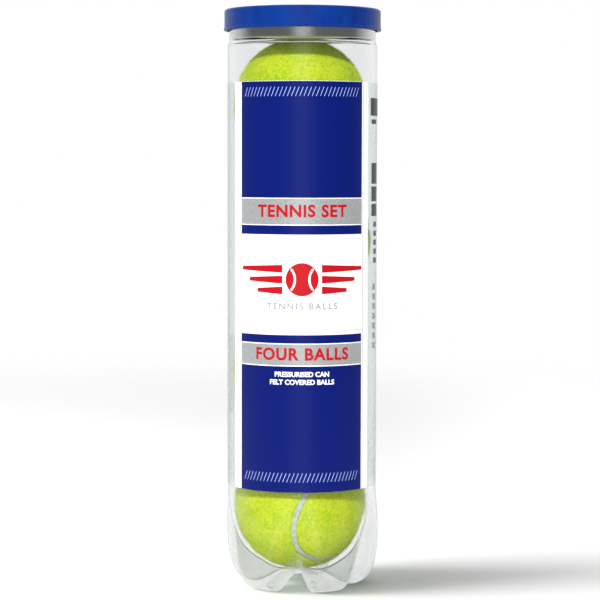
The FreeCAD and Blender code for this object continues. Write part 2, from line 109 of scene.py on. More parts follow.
def new_material(name, **sockets):
    """Material with one Principled shader; returns it with its tree and shader."""
    material = bpy.data.materials.new(name)
    material.use_nodes = True
    tree = material.node_tree
    shader = tree.nodes["Principled BSDF"]
    for key, content in sockets.items():
        shader.inputs[key.replace("_", " ")].default_value = content
    return material, tree, shader


def place(tree, scale=(1, 1, 1)):
    """The piece's own coordinates, in metres, times a scale."""
    source = add_node(tree, "ShaderNodeTexCoord")
    scaled = add_node(tree, "ShaderNodeMapping", {"Vector": source.outputs["Object"], "Scale": scale})
    return scaled.outputs[0]


def maths(tree, operation, *operands, **settings):
    """Result of a sum done by one node."""
    node = add_node(tree, "ShaderNodeMath", dict(enumerate(operands)), operation=operation, **settings)
    return node.outputs[0]


def ramp(tree, factor, stops):
    """Colour ramp from (position, hex or grey) stops."""
    node = add_node(tree, "ShaderNodeValToRGB", {"Fac": factor})
    band = node.color_ramp
    while len(band.elements) < len(stops):
        band.elements.new(0.5)
    for element, (position, shade) in zip(band.elements, stops):
        element.position = position
        element.color = colour(shade) if isinstance(shade, str) else (shade, shade, shade, 1)
    return node.outputs["Color"]


def bump(tree, shader, height, strength, depth):
    """Relief of a height pattern, depth metres deep at full strength."""
    node = add_node(tree, "ShaderNodeBump", {"Height": height, "Strength": strength, "Distance": depth})
    tree.links.new(node.outputs[0], shader.inputs["Normal"])


def grain(tree, size, detail=3.0, roughness=0.5, stretch=(1, 1, 1)):
    """Noise whose lumps are about size metres across."""
    scale = [axis / size for axis in stretch]
    return add_node(tree, "ShaderNodeTexNoise", {
        "Vector": place(tree, scale), "Scale": 1.0, "Detail": detail, "Roughness": roughness}).outputs[0]


def piece(name, vertices, faces, material, smooth=True):
    """Object made of vertices and faces."""
    mesh = bpy.data.meshes.new(name)
    mesh.from_pydata([tuple(v) for v in vertices], [], faces)
    return finish_piece(name, mesh, material, smooth)


def finish_piece(name, mesh, material, smooth=True):
    """Object for a finished mesh, with its faces turned outwards."""
    work = bmesh.new()
    work.from_mesh(mesh)
    bmesh.ops.remove_doubles(work, verts=work.verts, dist=0.002 * MM)
    bmesh.ops.recalc_face_normals(work, faces=work.faces)
    if work.calc_volume(signed=True) < 0:
        bmesh.ops.reverse_faces(work, faces=work.faces)
    for face in work.faces:
        face.smooth = smooth
    work.to_mesh(mesh)
    work.free()
    mesh.materials.clear()
    mesh.materials.append(material)
    thing = bpy.data.objects.new(name, mesh)
    bpy.context.collection.objects.link(thing)
    return thing


def eased(share):
    """Share from 0 to 1 that starts and ends gently."""
    return share * share * (3 - 2 * share)


def closed_loops(curve, loops):
    """Adds a straight-sided closed spline for each loop of (across, along) points."""
    for loop in loops:
        spline = curve.splines.new("POLY")
        spline.points.add(len(loop) - 1)
        spline.use_cyclic_u = True
        for point, (across, along) in zip(spline.points, loop):
            point.co = (across, along, 0, 1)


def drawn_mesh(name, drawing):
    """Mesh of a curve or a text."""
    holder = bpy.data.objects.new(name, drawing)
    bpy.context.collection.objects.link(holder)
    mesh = bpy.data.meshes.new_from_object(holder.evaluated_get(bpy.context.evaluated_depsgraph_get()))
    bpy.data.objects.remove(holder)
    return mesh


def rounded(corners, steps=6):
    """Outline through (across, up, corner radius) points, each corner an arc."""
    outline = []
    count = len(corners)
    for index, (across, up, radius) in enumerate(corners):
        here = Vector((across, up))
        if not radius:
            outline.append(here)
            continue
        before = (Vector(corners[index - 1][:2]) - here).normalized()
        after = (Vector(corners[(index + 1) % count][:2]) - here).normalized()
        half = before.angle(after) / 2
        reach = radius / math.tan(half)
        centre = here + (before + after).normalized() * (radius / math.sin(half))
        start = here + before * reach - centre
        turn = start.angle_signed(here + after * reach - centre)
        for step in range(steps + 1):
            outline.append(centre + Matrix.Rotation(-turn * step / steps, 2) @ start)
    return outline


def sheet_outline(path, thickness):
    """Closed outline of sheet metal that follows an open path at its middle."""
    left, right = [], []
    for index, spot in enumerate(path):
        before = path[max(index - 1, 0)]
        after = path[min(index + 1, len(path) - 1)]
        along = (after - before).normalized()
        side = Vector((-along.y, along.x)) * thickness / 2
        left.append(spot + side)
        right.append(spot - side)
    return left + right[::-1]


def turned(name, outline, material, steps=160, closed=True):
    """Turns an outline of (radius, height) points about the can's axis; closed joins its ends."""
    vertices, faces = [], []
    count = len(outline)
    for step in range(steps):
        angle = 2 * math.pi * step / steps
        for across, up in outline:
            vertices.append((across * math.cos(angle), across * math.sin(angle), up))
    for step in range(steps):
        for index in range(count if closed else count - 1):
            here, there = step * count, ((step + 1) % steps) * count
            following = (index + 1) % count
            faces.append((here + index, there + index, there + following, here + following))
    return piece(name, vertices, faces, material)


def settle(thing, body, slot, *nodes):
    """The piece rides its body and stands for its CAD nodes; the slot is not used."""
    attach(thing, body)
    if nodes:
        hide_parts(*nodes)


# ------------------------------------------------------------------ materials

def clear_pet():
    """Stretch-blown PET: water clear, hard gloss, faint long waves from the blow mould."""
    material, tree, shader = new_material(
        "stretch_blown_pet", Base_Color=colour("#FDFEFE"), Roughness=0.03, IOR=1.57,
        Transmission_Weight=1.0)
    waves = grain(tree, 14 * MM, 2.0, 0.4, (1, 1, 0.35))
    bump(tree, shader, waves, 0.08, 0.3 * MM)
    path = add_node(tree, "ShaderNodeLightPath")
    soft = maths(tree, "MAXIMUM", path.outputs["Is Shadow Ray"], path.outputs["Is Diffuse Ray"])
    through = add_node(tree, "ShaderNodeBsdfTransparent", {"Color": colour("#E8ECEB")})
    mix = add_node(tree, "ShaderNodeMixShader", {
        0: soft, 1: shader.outputs[0], 2: through.outputs[0]})
    output = tree.nodes["Material Output"]
    tree.links.new(mix.outputs[0], output.inputs["Surface"])
    depth = add_node(tree, "ShaderNodeVolumeAbsorption", {"Color": (0.26, 0.3, 0.29, 1), "Density": 170.0})
    tree.links.new(depth.outputs[0], output.inputs["Volume"])
    return material


def clear_film():
    """Biaxially drawn label film: clear, with a gloss that shows only at a slant."""
    material, tree, shader = new_material("drawn_label_film", Base_Color=colour("#FFFFFF"))
    edge = add_node(tree, "ShaderNodeFresnel", {"IOR": 1.25})
    side = add_node(tree, "ShaderNodeNewGeometry")
    outward = maths(tree, "SUBTRACT", 0.5, side.outputs["Backfacing"])
    share = maths(tree, "MULTIPLY", edge.outputs[0], outward, use_clamp=True)
    gloss = add_node(tree, "ShaderNodeBsdfGlossy", {"Color": colour("#F2F4F5"), "Roughness": 0.08})
    through = add_node(tree, "ShaderNodeBsdfTransparent", {"Color": colour("#FBFCFC")})
    mix = add_node(tree, "ShaderNodeMixShader", {
        0: share, 1: through.outputs[0], 2: gloss.outputs[0]})
    tree.links.new(mix.outputs[0], tree.nodes["Material Output"].inputs["Surface"])
    tree.nodes.remove(shader)
    return material


def ink(name, code, dark, roughness=0.3, metallic=0.0, fleck=0.35 * MM):
    """Gravure ink under film: even colour with faint mottle from the cells of the cylinder."""
    material, tree, shader = new_material(
        name, Roughness=roughness, Metallic=metallic, Coat_Weight=0.0)
    shader.inputs["Specular IOR Level"].default_value = 0.25
    mottle = grain(tree, fleck, 2.0)
    tree.links.new(ramp(tree, mottle, [(0.3, dark), (0.7, code)]), shader.inputs["Base Color"])
    bump(tree, shader, mottle, 0.05, 0.02 * MM)
    return material


def needled_felt(name, light, dark):
    """Needled wool and nylon felt: matt, bright, cloudy from tufts that lean different ways."""
    material, tree, shader = new_material(
        name, Roughness=0.95, Sheen_Weight=0.35, Sheen_Roughness=0.5, Sheen_Tint=colour("#E9FF8A"))
    shader.inputs["Specular IOR Level"].default_value = 0.1
    tufts = grain(tree, 1.3 * MM, 5.0, 0.65)
    clouds = grain(tree, 9 * MM, 2.0)
    both = maths(tree, "MULTIPLY", clouds, 0.35)
    sum_of = maths(tree, "ADD", tufts, both)
    tree.links.new(ramp(tree, sum_of, [(0.5, dark), (0.78, light)]), shader.inputs["Base Color"])
    bump(tree, shader, tufts, 0.7, 0.5 * MM)
    return material


def seam_cement():
    """Vulcanised seam cement: off-white, matt, dusted with loose yellow felt fibre."""
    material, tree, shader = new_material("vulcanised_cement", Roughness=0.8)
    dust = grain(tree, 1.1 * MM, 4.0, 0.7)
    tree.links.new(
        ramp(tree, dust, [(0.35, "#B9BE9A"), (0.5, "#DDDFD2"), (0.75, "#ECEDE4")]),
        shader.inputs["Base Color"])
    bump(tree, shader, dust, 0.5, 0.25 * MM)
    return material


def moulded_rubber():
    """Moulded natural rubber: near black, dull, with a fine cast skin."""
    material, tree, shader = new_material("moulded_natural_rubber", Roughness=0.75)
    skin = grain(tree, 0.6 * MM, 3.0)
    tree.links.new(ramp(tree, skin, [(0.3, "#1B1B1A"), (0.7, "#2A2927")]), shader.inputs["Base Color"])
    bump(tree, shader, skin, 0.3, 0.1 * MM)
    return material


def rolled_aluminium():
    """Rolled aluminium with a clear lacquer: bright, with fine rolling lines one way."""
    material, tree, shader = new_material("lacquered_rolled_aluminium", Metallic=1.0, Roughness=0.2)
    lines = grain(tree, 0.3 * MM, 3.0, 0.6, (0.04, 1, 1))
    tree.links.new(ramp(tree, lines, [(0.3, "#CDCFD0"), (0.7, "#DEDFDF")]), shader.inputs["Base Color"])
    tree.links.new(ramp(tree, lines, [(0.3, 0.16), (0.7, 0.22)]), shader.inputs["Roughness"])
    bump(tree, shader, lines, 0.02, 0.01 * MM)
    return material


def lining_compound():
    """Water-based lining compound, dried dull and slightly wrinkled."""
    material, tree, shader = new_material("dried_lining_compound", Roughness=0.7)
    wrinkle = grain(tree, 0.8 * MM, 3.0)
    tree.links.new(ramp(tree, wrinkle, [(0.3, "#9B9484"), (0.7, "#B5AF9F")]), shader.inputs["Base Color"])
    bump(tree, shader, wrinkle, 0.3, 0.1 * MM)
    return material


def moulded_polyethylene():
    """Injection-moulded low-density polyethylene: waxy, lets a little light through."""
    material, tree, shader = new_material(
        "moulded_ldpe_blue", Roughness=0.32, IOR=1.51, Subsurface_Weight=0.35, Subsurface_Scale=1.5 * MM,
        Transmission_Weight=0.12)
    shader.inputs["Specular IOR Level"].default_value = 0.18
    shader.inputs["Subsurface Radius"].default_value = (0.3, 0.6, 1.0)
    flow = grain(tree, 7 * MM, 3.0, 0.5, (1, 1, 0.3))
    tree.links.new(ramp(tree, flow, [(0.3, "#062C7C"), (0.7, "#0B388C")]), shader.inputs["Base Color"])
    fine = grain(tree, 0.5 * MM, 2.0)
    bump(tree, shader, fine, 0.08, 0.03 * MM)
    return material


def studio_floor():
    """Matt white laminate that fades out towards its rim. A painted glow rises towards +X and paints the
    can's cast shadow paler away from the can.
    """
    material, tree, shader = new_material("matt_white_laminate", Base_Color=colour("#DCDCDC"), Roughness=0.9)
    shader.inputs["Specular IOR Level"].default_value = 0.1
    source = add_node(tree, "ShaderNodeTexCoord")
    reach = add_node(tree, "ShaderNodeVectorMath", {0: source.outputs["Object"]}, operation="LENGTH")
    fade = add_node(tree, "ShaderNodeMapRange", {
        "Value": reach.outputs["Value"], "From Min": 0.45, "From Max": 1.3, "To Min": 1.0, "To Max": 0.0},
        interpolation_type="SMOOTHSTEP")
    through = add_node(tree, "ShaderNodeBsdfTransparent")
    axes = add_node(tree, "ShaderNodeSeparateXYZ", {0: source.outputs["Object"]})
    front = add_node(tree, "ShaderNodeMapRange", {
        "Value": axes.outputs[1], "From Min": -0.55, "From Max": -0.2, "To Min": 0.0, "To Max": 1.0})
    kept = maths(tree, "MULTIPLY", fade.outputs[0], front.outputs[0])
    path = add_node(tree, "ShaderNodeLightPath")
    unseen = maths(tree, "MULTIPLY_ADD", path.outputs["Is Glossy Ray"], -0.8, 1.0)
    dimmed = maths(tree, "MULTIPLY", kept, unseen)
    mix = add_node(tree, "ShaderNodeMixShader", {
        0: dimmed, 1: through.outputs[0], 2: shader.outputs[0]})
    tree.links.new(mix.outputs[0], tree.nodes["Material Output"].inputs["Surface"])
    shader.inputs["Emission Color"].default_value = (1, 1, 1, 1)
    # Painted light: the floor glows more towards +X, so the cast shadow fades away from the can.
    painted_glow = add_node(tree, "ShaderNodeMapRange", {
        "Value": axes.outputs[0], "From Min": 0.06, "From Max": 0.22, "To Min": 0.02, "To Max": 0.3})
    tree.links.new(painted_glow.outputs[0], shader.inputs["Emission Strength"])
    return material


PET = clear_pet()
FILM = clear_film()
WHITE_INK = ink("white_gravure_ink", "#FBFBFB", "#F1F2F3", 0.35)
BLUE_INK = ink("blue_gravure_ink", "#041869", "#03125D", 0.3)
SILVER_INK = ink("silver_flake_ink", "#D6D8D8", "#A9ADAE", 0.34, 0.55, 0.5 * MM)
RED_INK = ink("red_gravure_ink", "#A80F1B", "#B50F19", 0.3)
GREY_INK = ink("grey_gravure_ink", "#9A9FA4", "#8A9095", 0.4)
PALE_INK = ink("pale_blue_gravure_ink", "#A9B8E6", "#98A8DE", 0.35)
DARK_INK = ink("black_gravure_ink", "#232625", "#1A1C1B", 0.35)
FELT = needled_felt("needled_yellow_felt", "#F2F634", "#B8DE1C")
NAP = needled_felt("raised_felt_nap", "#F6F84C", "#BEE222")
CEMENT = seam_cement()
RUBBER = moulded_rubber()
ALUMINIUM = rolled_aluminium()
COMPOUND = lining_compound()
POLYETHYLENE = moulded_polyethylene()


# ------------------------------------------------------------------ bottle

FOOT_LINE = [
    (0, 7.2), (5, 7.2), (10.5, 6.2), (16, 3.6), (20.5, 1.1), (24.5, 0.0), (28.6, 0.7), (32.6, 3.6),
    (35.8, 9.0), (37.6, 16.5), (38.3, 25), (38.1, 34), (37.4, 43), (36.9, 50)]
VALLEY_LINE = [
    (0, 7.2), (5, 7.2), (10.5, 7.7), (15, 9.2), (19, 11.4), (22.8, 14.0), (26.4, 16.8), (29.7, 20.4),
    (32.4, 25), (34.4, 30), (35.7, 35), (36.5, 40), (36.8, 45), (36.9, 50)]
BASE_STEPS = 84
TURN_STEPS = 300


def smooth_line(points, steps):
    """Points along a smooth curve through the given ones, in metres."""
    spots = [Vector((across * MM, up * MM)) for across, up in points]
    ends = [2 * spots[0] - spots[1]] + spots + [2 * spots[-1] - spots[-2]]
    line = []
    for step in range(steps + 1):
        along = step / steps * (len(spots) - 1)
        index = min(int(along), len(spots) - 2)
        t = along - index
        a, b, c, d = ends[index:index + 4]
        line.append(0.5 * (2 * b + (c - a) * t + (2 * a - 5 * b + 4 * c - d) * t * t
                           + (3 * b - 3 * c + d - a) * t ** 3))
    return line


FOOT = smooth_line(FOOT_LINE, BASE_STEPS)
VALLEY = smooth_line(VALLEY_LINE, BASE_STEPS)


def base_spot(angle, row):
    """Point of the moulded base: valleys and feet blend into each other round the can."""
    sector = ((angle - GROOVE_TURN) * FOOT_COUNT / (2 * math.pi)) % 1
    near = 2 * min(sector, 1 - sector)
    low, high = 0.03, 0.46 + 0.3 * row / BASE_STEPS
    share = eased(min(max((near - low) / (high - low), 0), 1))
    spot = VALLEY[row] * (1 - share) + FOOT[row] * share
    across = spot.x * (1 + (LOBE_RADIUS / max(corner.x for corner in FOOT) - 1) * share)
    return Vector((across * math.cos(angle), across * math.sin(angle), spot.y))


def make_bottle():
    upper = rounded([
        (CAN_RADIUS, BASE_HEIGHT + 1 * MM, 0), (CAN_RADIUS, SEAM_TOP - NECK_DROP, 1.2 * MM),
        (NECK_RADIUS, SEAM_TOP - NECK_DROP + NECK_TAPER, 1.2 * MM),
        (NECK_RADIUS, COMPOUND_LOW.z, 0.3 * MM), (NECK_RADIUS + 0.6 * MM, COMPOUND_LOW.z, 0)])
    vertices, faces = [], []
    count = BASE_STEPS + len(upper)
    for step in range(TURN_STEPS):
        angle = 2 * math.pi * step / TURN_STEPS
        vertices += [base_spot(angle, row) for row in range(1, BASE_STEPS + 1)]
        for spot in upper:
            vertices.append((spot.x * math.cos(angle), spot.x * math.sin(angle), spot.y))
    for step in range(TURN_STEPS):
        here, there = step * count, ((step + 1) % TURN_STEPS) * count
        for row in range(count - 1):
            faces.append((here + row, there + row, there + row + 1, here + row + 1))
    faces.append([step * count for step in range(TURN_STEPS)][::-1])
    bottle = piece("bottle", vertices, faces, PET)
    wall = bottle.modifiers.new("wall", "SOLIDIFY")
    wall.thickness = WALL
    wall.offset = -1
    settle(bottle, "can", "clear_pet", "can_body")


MARK_ASIDE = (-18, 0, 0, 0, 17)
MARK_ROW = 45


def make_foot_marks():
    """Small raised rings moulded on the slope of each foot."""
    rings = []
    for foot, aside in enumerate(MARK_ASIDE):
        angle = GROOVE_TURN + (foot + 0.5) * 2 * math.pi / FOOT_COUNT + math.radians(aside)
        here = base_spot(angle, MARK_ROW)
        round_the_can = base_spot(angle + 0.01, MARK_ROW) - here
        outward = round_the_can.cross(base_spot(angle, MARK_ROW + 1) - here)
        bpy.ops.mesh.primitive_torus_add(
            major_radius=1.7 * MM, minor_radius=0.22 * MM, major_segments=32, minor_segments=8)
        ring = bpy.context.object
        turn = outward.to_track_quat("Z", "Y").to_matrix().to_4x4()
        ring.data.transform(Matrix.Translation(here) @ turn)
        rings.append(ring)
    marks = joined("foot_marks", rings, PET)
    settle(marks, "can", "clear_pet")


# ------------------------------------------------------------------ metal end and lid

def make_end():
    half = METAL / 2
    bend = 0.3 * MM
    side = SEAM_RADIUS - half
    top = SEAM_TOP - half
    low = SEAM_TOP - SEAM_HEIGHT + half
    hook = NECK_RADIUS + 0.2 * MM
    line = rounded([
        (APERTURE_RADIUS + half, PANEL_LEVEL, 0),
        (APERTURE_RADIUS + half, COUNTERSINK_LOW + half, 0.45 * MM),
        (CHUCK_RADIUS - half, COUNTERSINK_LOW + half, 0.45 * MM),
        (CHUCK_RADIUS - half, top, bend),
        (side, top, 2 * bend),
        (side, low, bend),
        (hook, low, 0.2 * MM),
        (hook, COMPOUND_LOW.z - 0.8 * MM, 0)])
    ring = turned("seamed_ring", sheet_outline(line, METAL), ALUMINIUM, 200)
    settle(ring, "can", "end_aluminium", "end_ring")
    lining = turned("lining_ring", rounded([
        (COMPOUND_HIGH.x - 1.2 * MM, COMPOUND_LOW.z, 0.08 * MM),
        (COMPOUND_HIGH.x, COMPOUND_LOW.z, 0.08 * MM),
        (COMPOUND_HIGH.x, COMPOUND_HIGH.z, 0.08 * MM),
        (COMPOUND_HIGH.x - 1.2 * MM, COMPOUND_HIGH.z, 0.08 * MM)], 3), COMPOUND)
    settle(lining, "can", "compound", "sealing_compound")


RIVET_LINE = (ISLAND_LOW.y + ISLAND_HIGH.y) / 2


def make_tear_panel():
    level = PANEL_LEVEL + METAL / 2
    outer = PANEL_RADIUS - 4 * MM
    deep = 0.5 * MM
    line = rounded([
        (0, level, 0), (outer - 3.2 * MM, level, 0.5 * MM), (outer - 2.6 * MM, level - deep, 0.4 * MM),
        (outer - 0.6 * MM, level - deep, 0.4 * MM), (outer, level, 0.5 * MM), (PANEL_RADIUS, level, 0)])
    sheet = turned("panel_sheet_work", sheet_outline(line, METAL), ALUMINIUM, 200, False)
    rivet = turned("rivet_work", rounded([
        (0, PANEL_LEVEL + METAL, 0), (2.0 * MM, PANEL_LEVEL + METAL, 0),
        (2.0 * MM, PANEL_HIGH.z - 0.5 * MM, 0), (2.8 * MM, PANEL_HIGH.z - 0.5 * MM, 0.15 * MM),
        (2.8 * MM, PANEL_HIGH.z, 0.3 * MM), (1.3 * MM, PANEL_HIGH.z, 0.2 * MM),
        (1.1 * MM, PANEL_HIGH.z - 0.3 * MM, 0.1 * MM), (0, PANEL_HIGH.z - 0.3 * MM, 0)]),
        ALUMINIUM, 64, False)
    rivet.data.transform(Matrix.Translation((0, RIVET_LINE, 0)))
    panel = joined("panel_with_rivet", [sheet, rivet], ALUMINIUM)
    settle(panel, "panel", "end_aluminium", "tear_panel")


def joined(name, things, material):
    """One piece from several, which are removed."""
    work = bmesh.new()
    for thing in things:
        work.from_mesh(thing.data)
        bpy.data.objects.remove(thing)
    mesh = bpy.data.meshes.new(name)
    work.to_mesh(mesh)
    work.free()
    return finish_piece(name, mesh, material)


def flat_curve(name, loops, low, high, edge):
    """Plate with rounded edges from closed loops; inner loops are holes."""
    curve = bpy.data.curves.new(name, "CURVE")
    curve.dimensions = "2D"
    curve.fill_mode = "BOTH"
    curve.bevel_depth = edge
    curve.bevel_resolution = 3
    curve.extrude = (high - low) / 2 - edge
    curve.offset = -edge
    closed_loops(curve, loops)
    mesh = drawn_mesh(name, curve)
    mesh.transform(Matrix.Translation((0, 0, (low + high) / 2)))
    return finish_piece(name, mesh, ALUMINIUM)


def circle(across, along, radius, steps=48):
    """Points round a circle."""
    return [(across + radius * math.cos(2 * math.pi * step / steps),
             along + radius * math.sin(2 * math.pi * step / steps)) for step in range(steps)]


def make_ring_pull():
    nose, tail = TAB_LOW.y, TAB_HIGH.y
    half = TAB_HIGH.x
    outline = rounded([
        (-half, nose, 3 * MM), (half, nose, 3 * MM), (half, tail, 6.5 * MM), (-half, tail, 6.5 * MM)], 10)
    finger = circle(0, tail - 8.0 * MM, 5.6 * MM)
    room = 0.4 * MM
    window = rounded([
        (ISLAND_LOW.x - room, ISLAND_LOW.y - room, 0.8 * MM),
        (ISLAND_HIGH.x + room, ISLAND_LOW.y - room, 0.8 * MM),
        (ISLAND_HIGH.x + room, ISLAND_HIGH.y + room, 0.8 * MM),
        (ISLAND_LOW.x - room, ISLAND_HIGH.y + room, 0.8 * MM)])
    tab = flat_curve("ring_pull", [outline, finger, window], TAB_LOW.z, TAB_HIGH.z, 0.45 * MM)
    settle(tab, "tab", "end_aluminium", "pull_tab")
    flap = rounded([
        (ISLAND_LOW.x, ISLAND_LOW.y, 0.5 * MM), (ISLAND_HIGH.x, ISLAND_LOW.y, 0.5 * MM),
        (ISLAND_HIGH.x, ISLAND_HIGH.y, 0.5 * MM), (ISLAND_LOW.x, ISLAND_HIGH.y, 0.5 * MM)])
    hole = circle(0, RIVET_LINE, 2.25 * MM, 32)
    island = flat_curve("rivet_flap", [flap, hole], ISLAND_LOW.z, ISLAND_HIGH.z, 0.12 * MM)
    settle(island, "panel", "end_aluminium", "tab_island")


def make_lid():
    wall = 0.9 * MM
    bore = LID_RADIUS - wall
    rib = bore - 0.25 * MM
    low, top = LID_LOW.z, LID_HIGH.z
    recess = 1.4 * MM
    rim = LID_RADIUS - 4 * MM
    lid = turned("push_on_lid", rounded([
        (0, top - recess, 0), (rim - recess, top - recess, 0.5 * MM), (rim, top, 0.5 * MM),
        (LID_RADIUS, top, 1.3 * MM), (LID_RADIUS, low + 1.2 * MM, 0.3 * MM),
        (LID_LIP_RADIUS, low + 1.0 * MM, 0.25 * MM), (LID_LIP_RADIUS, low, 0.25 * MM), (rib, low, 0.3 * MM),
        (rib, low + 1.4 * MM, 0.1 * MM), (bore, low + 1.7 * MM, 0.2 * MM), (bore, top - wall, 0.4 * MM),
        (rim - 0.4 * MM, top - wall, 0.3 * MM), (rim - recess - 0.4 * MM, top - wall - recess, 0.3 * MM),
        (0, top - wall - recess, 0)]), POLYETHYLENE, 240, False)
    settle(lid, "lid", "lid_plastic", "overcap")


# ------------------------------------------------------------------ label

PATCH_STEP = 1.2 * MM
PRINT_STEP = 1.5 * MM


def on_can(across, up, radius):
    """Place on a cylinder of a flat print spot: across is arc length from the front."""
    angle = across / FILM_RADIUS
    return radius * math.sin(angle), -radius * math.cos(angle), up


def arc(degrees):
    """Arc length on the label for an angle from its front."""
    return math.radians(degrees) * FILM_RADIUS


def patch(left, right, low, high, radius, thickness):
    """Vertices and faces of a curved slab between two arc lengths and two heights."""
    steps = max(2, int((right - left) / PATCH_STEP))
    vertices, faces = [], []
    for step in range(steps + 1):
        across = left + (right - left) * step / steps
        for reach in (radius - thickness, radius):
            vertices.append(on_can(across, low, reach))
            vertices.append(on_can(across, high, reach))
    for step in range(steps):
        a, b = 4 * step, 4 * step + 4
        for first, second in ((0, 1), (1, 3), (3, 2), (2, 0)):
            faces.append((a + first, b + first, b + second, a + second))
    faces.append((0, 1, 3, 2))
    faces.append((4 * steps, 4 * steps + 1, 4 * steps + 3, 4 * steps + 2))
    return vertices, faces


def patches(name, areas, radius, material, thickness=0.015 * MM):
    """One piece of several curved slabs, each (left, right, low, high)."""
    vertices, faces = [], []
    for left, right, low, high in areas:
        spots, sides = patch(left, right, low, high, radius, thickness)
        start = len(vertices)
        vertices += spots
        faces += [[start + corner for corner in side] for side in sides]
    thing = piece(name, vertices, faces, material, smooth=False)
    settle(thing, "can", "label_film")
    return thing


def wrap_flat(name, mesh, material, radius, thickness=0.02 * MM):
    """Bends a flat print, drawn in the XY plane in metres, round the can."""
    work = bmesh.new()
    work.from_mesh(mesh)
    spots = [vertex.co.x for vertex in work.verts]
    line = min(spots)
    while line < max(spots):
        geometry = work.verts[:] + work.edges[:] + work.faces[:]
        bmesh.ops.bisect_plane(work, geom=geometry, plane_co=(line, 0, 0), plane_no=(1, 0, 0))
        line += PRINT_STEP
    raised = bmesh.ops.extrude_face_region(work, geom=work.faces[:])["geom"]
    for item in raised:
        if isinstance(item, bmesh.types.BMVert):
            item.co.z += thickness
    for vertex in work.verts:
        vertex.co = on_can(vertex.co.x, vertex.co.y, radius - thickness + vertex.co.z)
    work.to_mesh(mesh)
    work.free()
    thing = finish_piece(name, mesh, material, smooth=False)
    settle(thing, "can", "label_film")
    return thing


def lettering(name, words, height, middle, up, material, radius, spacing=1.0):
    """Plain descriptive words, centred on (middle, up)."""
    text = bpy.data.curves.new(name, "FONT")
    text.body = words
    text.align_x = "CENTER"
    text.align_y = "CENTER"
    text.size = height / 0.7
    text.space_character = spacing
    text.resolution_u = 4
    text.offset = height * 0.045
    mesh = drawn_mesh(name, text)
    mesh.transform(Matrix.Translation((middle, up, 0)))
    return wrap_flat(name, mesh, material, radius)


def stroke_tree():
    """Geometry nodes: a row of slanted strokes bent round the can."""
    tree = bpy.data.node_groups.new("print_stroke_row", "GeometryNodeTree")
    face = tree.interface
    face.new_socket("Geometry", in_out="OUTPUT", socket_type="NodeSocketGeometry")
    face.new_socket("Count", in_out="INPUT", socket_type="NodeSocketInt")
    for name in ("Left", "Pitch", "Height", "Stroke Width", "Stroke Height", "Slant", "Radius"):
        face.new_socket(name, in_out="INPUT", socket_type="NodeSocketFloat")
    face.new_socket("Ink", in_out="INPUT", socket_type="NodeSocketMaterial")
    given = tree.nodes.new("NodeGroupInput").outputs

    start = add_node(tree, "ShaderNodeCombineXYZ", {0: given["Left"], 1: given["Height"]})
    step = add_node(tree, "ShaderNodeCombineXYZ", {0: given["Pitch"]})
    row = add_node(tree, "GeometryNodeMeshLine", {
        "Count": given["Count"], "Start Location": start.outputs[0], "Offset": step.outputs[0]})
    bar = add_node(tree, "GeometryNodeMeshGrid", {
        "Size X": given["Stroke Width"], "Size Y": given["Stroke Height"], "Vertices X": 2, "Vertices Y": 4})
    spot = add_node(tree, "GeometryNodeInputPosition")
    parts = add_node(tree, "ShaderNodeSeparateXYZ", {0: spot.outputs[0]})
    lean = maths(tree, "MULTIPLY", parts.outputs[1], given["Slant"])
    leaning = add_node(tree, "ShaderNodeCombineXYZ", {0: lean})
    slanted = add_node(tree, "GeometryNodeSetPosition", {
        "Geometry": bar.outputs["Mesh"], "Offset": leaning.outputs[0]})
    placed = add_node(tree, "GeometryNodeInstanceOnPoints", {
        "Points": row.outputs[0], "Instance": slanted.outputs[0]})
    real = add_node(tree, "GeometryNodeRealizeInstances", {0: placed.outputs[0]})
    spot = add_node(tree, "GeometryNodeInputPosition")
    parts = add_node(tree, "ShaderNodeSeparateXYZ", {0: spot.outputs[0]})
    angle = maths(tree, "DIVIDE", parts.outputs[0], given["Radius"])
    across = maths(tree, "MULTIPLY", maths(tree, "SINE", angle), given["Radius"])
    inward = maths(tree, "MULTIPLY", given["Radius"], -1.0)
    deep = maths(tree, "MULTIPLY", maths(tree, "COSINE", angle), inward)
    bent = add_node(tree, "ShaderNodeCombineXYZ", {0: across, 1: deep, 2: parts.outputs[1]})
    curved = add_node(tree, "GeometryNodeSetPosition", {
        "Geometry": real.outputs[0], "Position": bent.outputs[0]})
    inked = add_node(tree, "GeometryNodeSetMaterial", {
        "Geometry": curved.outputs[0], "Material": given["Ink"]})
    add_node(tree, "NodeGroupOutput", {0: inked.outputs[0]})
    return tree


STROKES = stroke_tree()


def grown(name, tree, values, base=None):
    """Mesh that a geometry tree makes, with its inputs set by their own identifiers."""
    mesh = base or bpy.data.meshes.new(name + "_seed")
    holder = bpy.data.objects.new(name + "_work", mesh)
    bpy.context.collection.objects.link(holder)
    modifier = holder.modifiers.new("grow", "NODES")
    modifier.node_group = tree
    for item in tree.interface.items_tree:
        if item.item_type == "SOCKET" and item.in_out == "INPUT" and item.name in values:
            modifier[item.identifier] = values[item.name]
    result = bpy.data.meshes.new_from_object(holder.evaluated_get(bpy.context.evaluated_depsgraph_get()))
    holder.modifiers.clear()
    bpy.data.objects.remove(holder)
    return result


def stroke_row(name, count, left, right, up, width, height, slant, material, radius):
    """Row of strokes from one arc length to another, as a thin slab of ink."""
    mesh = grown(name, STROKES, {
        "Count": count, "Left": left, "Pitch": (right - left) / (count - 1), "Height": up,
        "Stroke Width": width, "Stroke Height": height, "Slant": slant, "Radius": radius, "Ink": material})
    thing = finish_piece(name, mesh, material, smooth=False)
    inks = thing.modifiers.new("ink", "SOLIDIFY")
    inks.thickness = 0.012 * MM
    inks.offset = -1
    settle(thing, "can", "label_film")


